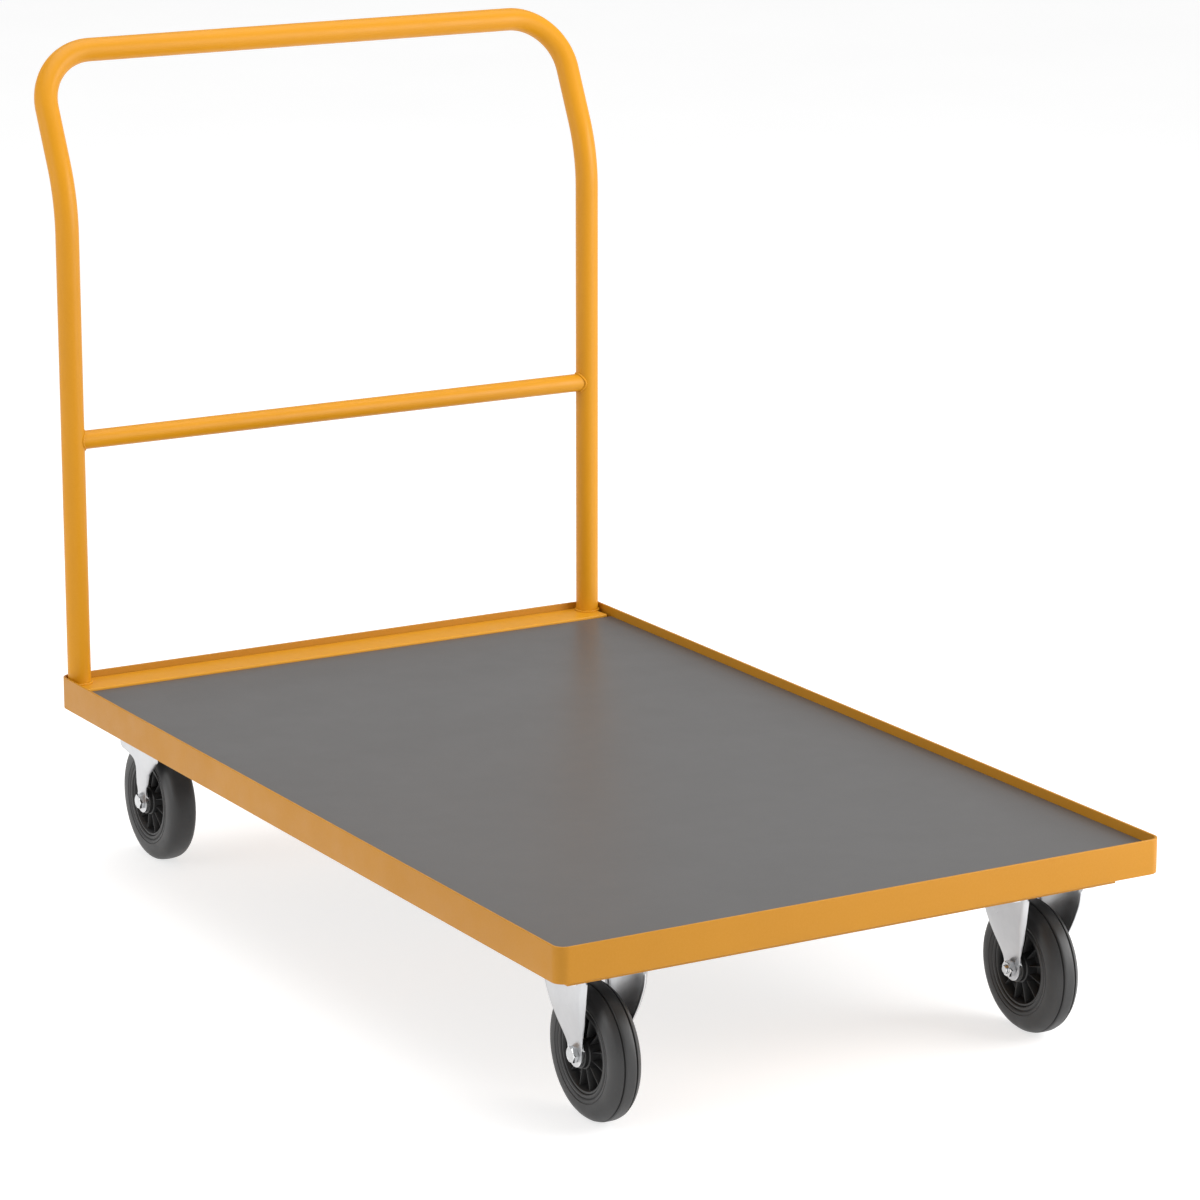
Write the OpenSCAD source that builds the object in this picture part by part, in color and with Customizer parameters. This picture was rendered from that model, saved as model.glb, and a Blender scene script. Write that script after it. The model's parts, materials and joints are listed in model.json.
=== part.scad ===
// Platform trolley: a steel-rimmed deck with a welded push handle, two fixed casters at the
// front and two swivel casters under the handle.  +Z is up, +Y points to the handle end and
// the origin is on the floor, in the middle of the trolley's outline.

/* [Deck] */
// Width of the deck over its rim
deck_w = 800; // [760:10:900]
// Length of the deck over its rim
deck_l = 1300; // [1200:10:1500]
// Height of the rim's top edge above the floor
rim_top_z = 245; // [243:1:247]
// Height of the rim's wall
rim_h = 42; // [40:1:44]
// Thickness of the rim's wall
rim_t = 3; // [2:0.5:3]
// Outer radius of the rim's upright corners
rim_corner_r = 15; // [12:1:20]
// Depth of the board's face below the rim's top edge
board_drop = 12; // [10:1:14]
// Thickness of the deck board
board_t = 15; // [12:1:15]

/* [Handle] */
// Outer radius of the handle tube
handle_r = 15; // [13:0.5:15]
// Wall thickness of the handle and crossbar tubes
handle_wall = 2; // [1.5:0.5:3]
// Radius of the crossbar between the posts
crossbar_r = 12; // [10:0.5:12]
// Height of the crossbar's axis above the rim
crossbar_rise = 311; // [250:1:400]
// Height above the rim at which the posts start to bend back
lean_start = 577; // [450:1:600]
// Centreline radius of the backward bend
lean_r = 206; // [150:2:250]
// Angle by which the top of the handle leans back
lean_angle = 25.5; // [10:0.5:35]
// Straight length between the backward bend and the corner bend
lean_straight = 73; // [40:1:100]
// Centreline radius of the two corner bends
corner_bend_r = 74; // [50:1:100]

/* [Wheels] */
// Radius of the wheels over the tyre
wheel_r = 80; // [78:0.5:81]
// Half width of the tyre
tyre_half = 19; // [17:0.1:19.5]
// Radius of the plastic wheel centre inside the tyre
centre_r = 47; // [45:0.5:48]
// Number of ribs on each face of a wheel centre
rib_count = 12; // [6:1:18]
// Depth of the two grooves round each front tyre
groove_depth = 1.4; // [0.5:0.1:2]

/* [Casters] */
// Height of a caster from the floor to the top of its plate
caster_h = 185; // [184:0.5:188]
// Distance of the casters from the trolley's middle line
caster_x = 293; // [260:1:300]
// Distance of the front wheels' axles from the front of the deck
front_axle_inset = 105; // [100:1:140]
// Distance of the swivel axes from the rear of the deck
swivel_inset = 112; // [110:1:116]
// Distance by which a swivel wheel trails its swivel axis
trail = 44; // [40:1:46]
// Length of a caster plate along the deck
plate_l = 110; // [104:1:112]
// Width of a caster plate
plate_w = 135; // [130:1:140]
// Spacing of a plate's bolts along the deck
bolt_dy = 80; // [78:1:84]
// Spacing of a plate's bolts across the deck
bolt_dx = 105; // [105:1:110]
// Number of balls in a swivel race
ball_count = 24; // [12:1:26]

/* [Hidden] */
$fn = 64;

// colours
PAINT = [0.90, 0.60, 0.16];
BOARD = [0.46, 0.46, 0.45];
ZINC = [0.78, 0.79, 0.80];
RUBBER = [0.20, 0.20, 0.20];
PLASTIC = [0.10, 0.10, 0.11];

// heights of the frame
rim_bottom_z = rim_top_z - rim_h;
board_top_z = rim_top_z - board_drop;
board_z = board_top_z - board_t;
half_w = deck_w / 2;
half_l = deck_l / 2;
inner_x = half_w - rim_t;
inner_y = half_l - rim_t;
fit = 0.5;                     // gap left round the board
sheet_t = 3;                   // folded sheet of the channels, forks and plates

// handle carrier and channels
carrier_d = 52;                // depth of the carrier tube, front to back
carrier_wall = 2.5;
carrier_x = inner_x - 7;
carrier_y = inner_y - carrier_d;
carrier_top_z = rim_top_z - 8.5;
post_x = half_w - 20;
post_y = half_l - 18.1;
channel_x = half_w - 35;
front_channel_y = [-half_l + 41, -half_l + 169];
rear_channel_y = [inner_y - 175, inner_y - carrier_d];
bar_d = 50;                    // middle crossbar, front to back
bar_wall = 2;
ledge_w = inner_x - channel_x;

// handle, worked out from its bends
bend_dy = lean_r * (1 - cos(lean_angle));
bend_dz = lean_r * sin(lean_angle);
corner_y = post_y + bend_dy + lean_straight * sin(lean_angle);
corner_z = rim_top_z + lean_start + bend_dz + lean_straight * cos(lean_angle);
top_y = corner_y + corner_bend_r * sin(lean_angle);
top_half = post_x - corner_bend_r;

join_gap = 0.05;               // between the straights and bends of the handle

// the origin is in the middle of the outline, and the handle overhangs the deck
shift_y = -(top_y + handle_r - half_l) / 2;

// deck screws
screw_r = 2;
screw_end_z = board_top_z - 4;
bar_screw_x = [-330, -120, 120, 330];
ledge_screw_y = [-330, 330];

// casters
front_y = -half_l + front_axle_inset;
swivel_y = half_l - swivel_inset;
axle_z = wheel_r;
plate_z = caster_h - sheet_t;
bolt_r = 4;                    // M8 plate bolts
bolt_af = 13;
axle_r = 5;                    // M10 axle bolts
axle_af = 17;
axle_head_h = 6.4;
axle_nut_h = 8;
fork_foot = 26;                // half width over a fork at its axle
fork_shoulder = 43;            // half width over a fork at its crown
sleeve_r = 7.5;
hub_half = fork_foot - sheet_t - 0.5;
hub_r = 17;
hub_bore_r = 12.5;
roller_r = 2.3;
roller_ring_r = 10;
roller_count = 12;

// swivel head, from the plate down
crown_z = plate_z - 12;        // top of the fork's crown
race_r = 31;                   // radius of the circle of balls
ball_r = 3;
ball_z = crown_z + 6;
race_in = 24;
race_out = 38;
king_r = 7;

function hex_r(af) = af / 2 / cos(30);
function other_side(pts) = [for (p = pts) [-p[0], p[1]]];
function back(pts) = [for (i = [len(pts) - 1 : -1 : 0]) pts[i]];
function flip(pts) = back(other_side(pts));
function arc(cx, cy, r, from, to, n) =
    [for (i = [0 : n]) let (a = from + (to - from) * i / n) [cx + r * cos(a), cy + r * sin(a)]];

// ---------------------------------------------------------------- helpers

module in_frame() {
    translate([0, shift_y, 0]) children();
}

// a bar along X with the given outline in Y and Z
module along_x(x0, x1) {
    translate([x0, 0, 0])
        rotate([90, 0, 90])
            linear_extrude(x1 - x0)
                children();
}

// an outline in X and Z, stretched along Y on both sides of y = 0
module along_y(length) {
    translate([0, length / 2, 0])
        rotate([90, 0, 0])
            linear_extrude(length)
                children();
}

// an outline in Y and Z, stretched along X on both sides of x = 0
module across(width) {
    along_x(-width / 2, width / 2) children();
}

module rod_x(x0, x1, r) {
    translate([x0, 0, 0])
        rotate([0, 90, 0])
            cylinder(h = x1 - x0, r = r);
}

module ring(h, r_out, r_in) {
    difference() {
        cylinder(h = h, r = r_out);
        translate([0, 0, -1])
            cylinder(h = h + 2, r = r_in);
    }
}

module at_plate_bolts() {
    for (sx = [-1, 1], sy = [-1, 1])
        translate([sx * bolt_dx / 2, sy * bolt_dy / 2, 0])
            children();
}

module at_all_plates() {
    for (s = [-1, 1], y = [front_y, swivel_y])
        translate([s * caster_x, y, 0])
            children();
}

// ---------------------------------------------------------------- deck

module rim_wall(length, x, y, turn) {
    translate([x, y, rim_bottom_z])
        rotate([0, 0, turn])
            translate([-length / 2, -rim_t, 0])
                cube([length, rim_t, rim_h]);
}

module deck_rim() {
    color(PAINT) in_frame() {
        for (s = [-1, 1]) {
            rim_wall(deck_w - 2 * rim_corner_r, 0, s * half_l, s > 0 ? 0 : 180);
            rim_wall(deck_l - 2 * rim_corner_r, s * half_w, 0, s > 0 ? -90 : 90);
        }
        for (corner = [[1, 1, 0], [-1, 1, 90], [-1, -1, 180], [1, -1, 270]])
            translate([corner[0] * (half_w - rim_corner_r),
                       corner[1] * (half_l - rim_corner_r), rim_bottom_z])
                rotate([0, 0, corner[2]])
                    rotate_extrude(angle = 90)
                        translate([rim_corner_r - rim_t, 0])
                            square([rim_t, rim_h]);
    }
}

module deck_board() {
    r = rim_corner_r - rim_t;
    x = inner_x - fit;
    y0 = -inner_y + fit;
    y1 = carrier_y - 0.3;
    color(BOARD) in_frame()
        difference() {
            translate([0, 0, board_z])
                linear_extrude(board_t)
                    polygon(concat(
                        arc(-x + r, y0 + r, r, 180, 270, 8),
                        arc(x - r, y0 + r, r, 270, 360, 8),
                        [[x, y1], [-x, y1]]));
            screw_places() translate([0, 0, board_z - 1])
                cylinder(h = screw_end_z - board_z + 1, r = screw_r);
        }
}

// a folded cross-member with its web down, bolted to two casters
module cross_channel(y0, y1) {
    z0 = caster_h;
    color(PAINT) in_frame()
        difference() {
            along_x(-channel_x, channel_x)
                polygon([
                    [y0, z0], [y1, z0], [y1, board_z], [y1 - sheet_t, board_z],
                    [y1 - sheet_t, z0 + sheet_t], [y0 + sheet_t, z0 + sheet_t],
                    [y0 + sheet_t, board_z], [y0, board_z]]);
            plate_bolt_holes();
        }
}

module front_channel() {
    cross_channel(front_channel_y[0], front_channel_y[1]);
}

module rear_channel() {
    cross_channel(rear_channel_y[0], rear_channel_y[1]);
}

module plate_bolt_holes() {
    at_all_plates() at_plate_bolts()
        translate([0, 0, plate_z - 1])
            cylinder(h = 2 * sheet_t + 2, r = bolt_r + 0.5);
}

module middle_crossbar() {
    h = board_z - rim_bottom_z;
    color(PAINT) in_frame()
        difference() {
            translate([-inner_x + ledge_w, -bar_d / 2, rim_bottom_z])
                cube([2 * (inner_x - ledge_w), bar_d, h]);
            translate([-half_w, -bar_d / 2 + bar_wall, rim_bottom_z + bar_wall])
                cube([deck_w, bar_d - 2 * bar_wall, h - 2 * bar_wall]);
            for (x = bar_screw_x)
                translate([x, 0, rim_bottom_z - 1])
                    cylinder(h = h + 2, r = screw_r + 0.2);
        }
}

module side_ledges() {
    y0 = -half_l + rim_corner_r;
    y1 = carrier_y;
    color(PAINT) in_frame()
        for (s = [-1, 1])
            difference() {
                union() {
                    translate([s > 0 ? inner_x - ledge_w : -inner_x, y0, board_z - sheet_t])
                        cube([ledge_w, y1 - y0, sheet_t]);
                    translate([s > 0 ? inner_x - sheet_t : -inner_x, y0, rim_bottom_z])
                        cube([sheet_t, y1 - y0, board_z - rim_bottom_z]);
                }
                for (y = ledge_screw_y)
                    translate([s * (inner_x - ledge_w / 2), y, rim_bottom_z])
                        cylinder(h = rim_h, r = screw_r + 0.2);
            }
}

// the middle of the crossbar's and the ledges' screws
module screw_places() {
    for (x = bar_screw_x)
        translate([x, 0, 0]) children();
    for (s = [-1, 1], y = ledge_screw_y)
        translate([s * (inner_x - ledge_w / 2), y, 0]) children();
}

module deck_screw(seat_z) {
    translate([0, 0, seat_z])
        cylinder(h = screw_end_z - seat_z, r = screw_r);
    translate([0, 0, seat_z - 2.5])
        cylinder(h = 2.5, r = 4.5);
}

module deck_screws() {
    color(ZINC) in_frame() {
        for (x = bar_screw_x)
            translate([x, 0, 0]) deck_screw(rim_bottom_z);
        for (s = [-1, 1], y = ledge_screw_y)
            translate([s * (inner_x - ledge_w / 2), y, 0]) deck_screw(board_z - sheet_t);
    }
}

// ---------------------------------------------------------------- handle

module handle_carrier() {
    z0 = rim_bottom_z;
    y1 = inner_y;
    color(PAINT) in_frame()
        difference() {
            translate([0, 0, z0])
                linear_extrude(carrier_top_z - z0)
                    polygon([
                        [-carrier_x, carrier_y], [carrier_x, carrier_y],
                        [carrier_x, y1 - 8], [carrier_x - 10, y1],
                        [-carrier_x + 10, y1], [-carrier_x, y1 - 8]]);
            translate([-half_w, carrier_y + carrier_wall, z0 + carrier_wall])
                cube([deck_w, carrier_d - 2 * carrier_wall, carrier_top_z - z0 - 2 * carrier_wall]);
        }
}

module handle_section() {
    difference() {
        circle(r = handle_r);
        circle(r = handle_r - handle_wall);
    }
}

// a straight length of the handle along +Z; the lengths and bends end a hair apart
module handle_length(length) {
    translate([0, 0, join_gap / 2])
        linear_extrude(length - join_gap)
            handle_section();
}

// a bend of the handle about the Z axis, starting on +X
module handle_bend(r, angle) {
    rotate_extrude(angle = angle)
        translate([r, 0])
            handle_section();
}

// one half of the bent tube, from its foot to the middle of the top
module handle_half() {
    bend_z = rim_top_z + lean_start;
    translate([post_x, post_y, carrier_top_z - join_gap / 2])
        handle_length(bend_z - carrier_top_z + join_gap / 2);
    translate([post_x, post_y + lean_r, bend_z])
        rotate([90, 0, 90])
            rotate([0, 0, 180 - lean_angle])
                handle_bend(lean_r, lean_angle);
    translate([post_x, post_y + bend_dy, bend_z + bend_dz])
        rotate([-lean_angle, 0, 0])
            handle_length(lean_straight);
    translate([top_half, corner_y, corner_z])
        rotate([90 - lean_angle, 0, 0])
            handle_bend(corner_bend_r, 90);
}

module handle_tube() {
    color(PAINT) in_frame() {
        handle_half();
        mirror([1, 0, 0]) handle_half();
        translate([-top_half, top_y, corner_z + corner_bend_r * cos(lean_angle)])
            rotate([0, 90, 0])
                handle_length(2 * top_half);
    }
}

module handle_crossbar() {
    z = rim_top_z + crossbar_rise;
    color(PAINT) in_frame()
        difference() {
            translate([0, post_y, z])
                rod_x(-post_x + 5, post_x - 5, crossbar_r);
            translate([0, post_y, z])
                rod_x(-post_x, post_x, crossbar_r - handle_wall);
            for (s = [-1, 1])
                translate([s * post_x, post_y, z - 30])
                    cylinder(h = 60, r = handle_r);
        }
}

// ---------------------------------------------------------------- caster plates' fasteners

module hex_bolt_up(r, af, head_h, length) {
    translate([0, 0, -head_h])
        cylinder(h = head_h, r = hex_r(af), $fn = 6);
    cylinder(h = length, r = r);
}

module caster_bolts() {
    color(ZINC) in_frame()
        at_all_plates() at_plate_bolts()
            translate([0, 0, plate_z])
                hex_bolt_up(bolt_r, bolt_af, 5.3, 2 * sheet_t + 9.5);
}

module caster_washers() {
    color(ZINC) in_frame()
        at_all_plates() at_plate_bolts()
            translate([0, 0, caster_h + sheet_t])
                ring(1.6, 8, bolt_r + 0.3);
}

module caster_nuts() {
    color(ZINC) in_frame()
        at_all_plates() at_plate_bolts()
            translate([0, 0, caster_h + sheet_t + 1.6])
                difference() {
                    cylinder(h = 6.5, r = hex_r(bolt_af), $fn = 6);
                    translate([0, 0, -1])
                        cylinder(h = 9, r = bolt_r);
                }
}

// ---------------------------------------------------------------- forks

// half width over a fork from its foot to its crown, as [half width, height]
fixed_flank = [
    [fork_foot, 0], [fork_foot, axle_z + 12], [fork_foot + 3.5, axle_z + 24],
    [fork_foot + 8, axle_z + 37], [fork_shoulder - 2, axle_z + 63], [fork_shoulder, axle_z + 85]];
swivel_flank = [
    [fork_foot, 0], [fork_foot, axle_z + 12], [fork_foot + 6, axle_z + 26],
    [fork_foot + 9, axle_z + 44], [fork_foot + 12, axle_z + 70]];

// the folded sheet of a fork seen along the deck, before its sides are cut to shape
module fork_sheet(flank, top_z, length) {
    wide = flank[len(flank) - 1][0];
    out = concat(flank, arc(wide - 7, top_z - 7, 7, 0, 90, 6));
    inn = concat(
        [for (p = flank) [p[0] - sheet_t, p[1]]],
        arc(wide - 7, top_z - 7, 7 - sheet_t, 0, 90, 6));
    along_y(length)
        polygon(concat(out, flip(out), other_side(inn), back(inn)));
}

module axle_hole() {
    translate([0, 0, axle_z])
        rod_x(-fork_shoulder - 5, fork_shoulder + 5, axle_r + 0.1);
}

// half length of a fixed fork's leg at a height, as [half length, height]
fixed_leg = [
    [15.5, axle_z], [15.7, axle_z + 10], [18.4, axle_z + 17], [22.3, axle_z + 24],
    [29.8, axle_z + 39], [36.2, axle_z + 55], [41.2, axle_z + 70], [44.4, axle_z + 83],
    [46, axle_z + 96]];

// a fixed caster's bracket, above its wheel's axle
module fixed_fork() {
    color(ZINC)
        difference() {
            union() {
                intersection() {
                    fork_sheet(fixed_flank, plate_z, 2 * plate_l);
                    union() {
                        across(2 * plate_w)
                            polygon(concat(
                                fixed_leg, [[46.5, caster_h], [-46.5, caster_h]], flip(fixed_leg)));
                        translate([0, 0, axle_z])
                            rod_x(-plate_w, plate_w, 15.5);
                    }
                }
                translate([-plate_w / 2, -plate_l / 2, plate_z])
                    cube([plate_w, plate_l, sheet_t]);
            }
            axle_hole();
            at_plate_bolts() translate([0, 0, plate_z - 1])
                cylinder(h = sheet_t + 2, r = bolt_r + 0.5);
        }
}

// outline of a swivel fork's leg in Y and Z, with y = 0 at the axle
swivel_leg = concat(
    arc(-0.5, axle_z, 14, 180, 360, 16),
    [[13.5, axle_z + 10], [9, axle_z + 19], [3, axle_z + 30], [-1.5, axle_z + 41],
     [-3, axle_z + 50], [-2, axle_z + 57], [1, axle_z + 61], [8, axle_z + 63],
     [40, axle_z + 68], [40, crown_z + 1], [-95, crown_z + 1], [-95, axle_z + 79],
     [-77, axle_z + 75], [-61, axle_z + 62], [-39, axle_z + 44], [-30, axle_z + 28],
     [-21, axle_z + 17], [-14.5, axle_z + 10]]);

// a swivel fork with its swivel axis at the origin and its wheel trailing towards +Y
module swivel_fork() {
    color(ZINC)
        difference() {
            union() {
                intersection() {
                    fork_sheet(swivel_flank, crown_z, 300);
                    translate([0, trail, 0])
                        across(2 * plate_w)
                            polygon(swivel_leg);
                    union() {
                        cylinder(h = caster_h, r = 46);
                        translate([-plate_w, 0, 0])
                            cube([2 * plate_w, trail + 60, caster_h]);
                    }
                }
                translate([0, 0, crown_z])
                    ring(ball_z - ball_r - crown_z + 0.7, race_out, race_in);
            }
            translate([0, trail, 0]) axle_hole();
            translate([0, 0, crown_z - 10])
                cylinder(h = 20, r = king_r + 0.06);
            ball_groove();
        }
}

// the track that the balls of a swivel head run in
module ball_groove() {
    translate([0, 0, ball_z])
        rotate_extrude()
            translate([race_r, 0])
                circle(r = ball_r + 0.1);
}

module swivel_top_plate() {
    color(ZINC)
        difference() {
            union() {
                translate([-plate_w / 2, -plate_l / 2, plate_z])
                    cube([plate_w, plate_l, sheet_t]);
                translate([0, 0, ball_z + ball_r - 0.7])
                    cylinder(h = plate_z - ball_z - ball_r + 0.7, r = race_out);
            }
            ball_groove();
            translate([0, 0, crown_z])
                cylinder(h = 40, r = king_r);
            at_plate_bolts() translate([0, 0, plate_z - 1])
                cylinder(h = sheet_t + 2, r = bolt_r + 0.5);
        }
}

module swivel_kingpin() {
    color(ZINC) {
        translate([0, 0, crown_z - 11])
            cylinder(h = caster_h - crown_z + 11, r = king_r);
        translate([0, 0, crown_z - 11])
            cylinder(h = 7.6, r = 12);
    }
}

module swivel_dust_seal() {
    color(RUBBER)
        translate([0, 0, crown_z + 2])
            ring(plate_z - crown_z - 2, race_out + 3, race_out + 1);
}

module swivel_balls() {
    color(ZINC)
        for (i = [0 : ball_count - 1])
            rotate([0, 0, 360 * i / ball_count])
                translate([race_r, 0, ball_z])
                    sphere(r = ball_r);
}

// ---------------------------------------------------------------- axles

module axle_bolt() {
    color(ZINC)
        translate([0, 0, axle_z])
            rotate([0, 90, 0]) {
                translate([0, 0, -fork_foot - axle_head_h])
                    cylinder(h = axle_head_h, r = hex_r(axle_af), $fn = 6);
                translate([0, 0, -fork_foot])
                    cylinder(h = 2 * fork_foot + axle_nut_h + 3, r = axle_r);
            }
}

module axle_nut() {
    color(ZINC)
        translate([fork_foot, 0, axle_z])
            rotate([0, 90, 0])
                difference() {
                    cylinder(h = axle_nut_h, r = hex_r(axle_af), $fn = 6);
                    translate([0, 0, -1])
                        cylinder(h = axle_nut_h + 2, r = axle_r);
                }
}

module axle_sleeve() {
    color(ZINC)
        translate([-fork_foot + sheet_t, 0, axle_z])
            rotate([0, 90, 0])
                ring(2 * (fork_foot - sheet_t), sleeve_r, axle_r + 0.1);
}

// ---------------------------------------------------------------- wheels

module wheel_centre() {
    color(PLASTIC)
        translate([0, 0, axle_z])
            rotate([0, 90, 0])
                difference() {
                    union() {
                        translate([0, 0, -hub_half])
                            cylinder(h = 2 * hub_half, r = hub_r);
                        translate([0, 0, -3])
                            cylinder(h = 6, r = centre_r - 2);
                        translate([0, 0, -16])
                            ring(32, centre_r, centre_r - 4);
                        for (i = [0 : rib_count - 1])
                            rotate([0, 0, 360 * i / rib_count])
                                translate([hub_r - 1, -0.9, -11])
                                    cube([centre_r - hub_r - 2, 1.8, 22]);
                    }
                    translate([0, 0, -hub_half - 1])
                        cylinder(h = 2 * hub_half + 2, r = hub_bore_r);
                }
}

// half of a tyre's section from its bead to the middle of the tread, as [radius, half width]
tread_edge = [wheel_r - 0.9, 7.8];
tyre_side = [
    [centre_r, tyre_half - 1.6], [centre_r + 1.5, tyre_half - 0.5], [centre_r + 4.6, tyre_half - 0.5],
    [centre_r + 5.8, tyre_half - 1.7], [centre_r + 7, tyre_half - 0.9],
    [centre_r + 12, tyre_half - 0.1], [centre_r + 16, tyre_half],
    [centre_r + 21, tyre_half - 0.6], [centre_r + 26, tyre_half - 2.3],
    [wheel_r - 4.7, tyre_half - 4.8], [wheel_r - 2.4, tyre_half - 7.9]];

module tyre(grooved) {
    groove = grooved ? [
        tread_edge, [wheel_r - 0.9 - groove_depth, 7.6], [wheel_r - 0.8 - groove_depth, 6.4],
        [wheel_r - 0.6, 6.2]] : [tread_edge];
    half = concat(tyre_side, groove, [[wheel_r - 0.15, 3]]);
    other = [for (i = [len(half) - 1 : -1 : 0]) [half[i][0], -half[i][1]]];
    color(RUBBER)
        translate([0, 0, axle_z])
            rotate([0, 90, 0])
                rotate_extrude()
                    polygon(concat(half, [[wheel_r, 0]], other));
}

module roller_bearing() {
    color(ZINC)
        translate([0, 0, axle_z])
            rotate([0, 90, 0]) {
                for (z = [-20, 17])
                    translate([0, 0, z])
                        ring(3, hub_bore_r, sleeve_r + 0.08);
                for (i = [0 : roller_count - 1])
                    rotate([0, 0, 360 * i / roller_count])
                        translate([roller_ring_r, 0, -17])
                            cylinder(h = 34, r = roller_r);
            }
}

// ---------------------------------------------------------------- places

// side is -1 on the left and 1 on the right; the axle bolt's head faces outwards
module at_front(side) {
    in_frame() translate([side * caster_x, front_y, 0])
        mirror([side > 0 ? 1 : 0, 0, 0]) children();
}

module at_swivel(side) {
    in_frame() translate([side * caster_x, swivel_y, 0])
        mirror([side > 0 ? 1 : 0, 0, 0]) children();
}

module at_rear(side) {
    at_swivel(side) translate([0, trail, 0]) children();
}

module front_left_fork() { at_front(-1) fixed_fork(); }
module front_left_axle_bolt() { at_front(-1) axle_bolt(); }
module front_left_axle_nut() { at_front(-1) axle_nut(); }
module front_left_axle_sleeve() { at_front(-1) axle_sleeve(); }
module front_left_wheel_centre() { at_front(-1) wheel_centre(); }
module front_left_tyre() { at_front(-1) tyre(true); }
module front_left_roller_bearing() { at_front(-1) roller_bearing(); }
module front_right_fork() { at_front(1) fixed_fork(); }
module front_right_axle_bolt() { at_front(1) axle_bolt(); }
module front_right_axle_nut() { at_front(1) axle_nut(); }
module front_right_axle_sleeve() { at_front(1) axle_sleeve(); }
module front_right_wheel_centre() { at_front(1) wheel_centre(); }
module front_right_tyre() { at_front(1) tyre(true); }
module front_right_roller_bearing() { at_front(1) roller_bearing(); }
module rear_left_top_plate() { at_swivel(-1) swivel_top_plate(); }
module rear_left_kingpin() { at_swivel(-1) swivel_kingpin(); }
module rear_left_dust_seal() { at_swivel(-1) swivel_dust_seal(); }
module rear_left_balls() { at_swivel(-1) swivel_balls(); }
module rear_left_fork() { at_swivel(-1) swivel_fork(); }
module rear_left_axle_bolt() { at_rear(-1) axle_bolt(); }
module rear_left_axle_nut() { at_rear(-1) axle_nut(); }
module rear_left_axle_sleeve() { at_rear(-1) axle_sleeve(); }
module rear_left_wheel_centre() { at_rear(-1) wheel_centre(); }
module rear_left_tyre() { at_rear(-1) tyre(false); }
module rear_left_roller_bearing() { at_rear(-1) roller_bearing(); }
module rear_right_top_plate() { at_swivel(1) swivel_top_plate(); }
module rear_right_kingpin() { at_swivel(1) swivel_kingpin(); }
module rear_right_dust_seal() { at_swivel(1) swivel_dust_seal(); }
module rear_right_balls() { at_swivel(1) swivel_balls(); }
module rear_right_fork() { at_swivel(1) swivel_fork(); }
module rear_right_axle_bolt() { at_rear(1) axle_bolt(); }
module rear_right_axle_nut() { at_rear(1) axle_nut(); }
module rear_right_axle_sleeve() { at_rear(1) axle_sleeve(); }
module rear_right_wheel_centre() { at_rear(1) wheel_centre(); }
module rear_right_tyre() { at_rear(1) tyre(false); }
module rear_right_roller_bearing() { at_rear(1) roller_bearing(); }

deck_rim();
deck_board();
front_channel();
rear_channel();
middle_crossbar();
side_ledges();
deck_screws();
handle_carrier();
handle_tube();
handle_crossbar();
caster_bolts();
caster_nuts();
caster_washers();
front_left_fork();
front_left_axle_bolt();
front_left_axle_nut();
front_left_axle_sleeve();
front_left_wheel_centre();
front_left_tyre();
front_left_roller_bearing();
front_right_fork();
front_right_axle_bolt();
front_right_axle_nut();
front_right_axle_sleeve();
front_right_wheel_centre();
front_right_tyre();
front_right_roller_bearing();
rear_left_top_plate();
rear_left_kingpin();
rear_left_dust_seal();
rear_left_balls();
rear_left_fork();
rear_left_axle_bolt();
rear_left_axle_nut();
rear_left_axle_sleeve();
rear_left_wheel_centre();
rear_left_tyre();
rear_left_roller_bearing();
rear_right_top_plate();
rear_right_kingpin();
rear_right_dust_seal();
rear_right_balls();
rear_right_fork();
rear_right_axle_bolt();
rear_right_axle_nut();
rear_right_axle_sleeve();
rear_right_wheel_centre();
rear_right_tyre();
rear_right_roller_bearing();
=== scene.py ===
"""Looks of a platform trolley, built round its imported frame.

Lengths are in millimetres, and are scaled to metres where a mesh is made.
"""
import json
import math
import random

import bmesh
import bpy
from mathutils import Matrix, Vector


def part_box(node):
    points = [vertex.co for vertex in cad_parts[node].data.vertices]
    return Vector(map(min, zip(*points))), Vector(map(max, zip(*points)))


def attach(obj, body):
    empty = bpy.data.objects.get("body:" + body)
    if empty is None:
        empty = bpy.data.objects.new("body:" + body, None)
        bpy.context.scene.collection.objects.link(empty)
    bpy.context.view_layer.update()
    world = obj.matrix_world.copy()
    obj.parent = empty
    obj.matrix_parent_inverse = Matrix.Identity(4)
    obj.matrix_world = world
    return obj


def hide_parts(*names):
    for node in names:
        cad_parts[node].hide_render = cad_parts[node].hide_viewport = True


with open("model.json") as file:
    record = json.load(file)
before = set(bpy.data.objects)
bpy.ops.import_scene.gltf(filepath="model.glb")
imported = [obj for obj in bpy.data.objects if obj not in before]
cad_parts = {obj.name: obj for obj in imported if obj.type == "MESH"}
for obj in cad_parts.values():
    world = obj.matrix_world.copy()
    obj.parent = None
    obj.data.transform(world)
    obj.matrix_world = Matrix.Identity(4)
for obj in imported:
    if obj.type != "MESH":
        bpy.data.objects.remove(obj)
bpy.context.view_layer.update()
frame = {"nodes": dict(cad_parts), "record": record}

MM = 0.001
rng = random.Random(7)

# sizes in millimetres, the same as the CAD's
TUBE_R = 15.0
BAR_R = 12.0
RIM_T = 3.0
RIM_CORNER = 15.0
AXLE_Z = 80.0
AXLE_R = 5.0
FOOT_X = 26.0
PLATE_X, PLATE_Y, PLATE_T = 135.0, 110.0, 3.0
BOLT_X, BOLT_Y = 52.5, 40.0


def mid(node):
    """Centre of a CAD node in millimetres."""
    lo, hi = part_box(node)
    return Vector([(lo[i] + hi[i]) / 2 / MM for i in range(3)])


def low(node):
    return Vector([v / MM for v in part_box(node)[0]])


def high(node):
    return Vector([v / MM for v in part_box(node)[1]])


# ------------------------------------------------------------------ meshes

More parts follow.
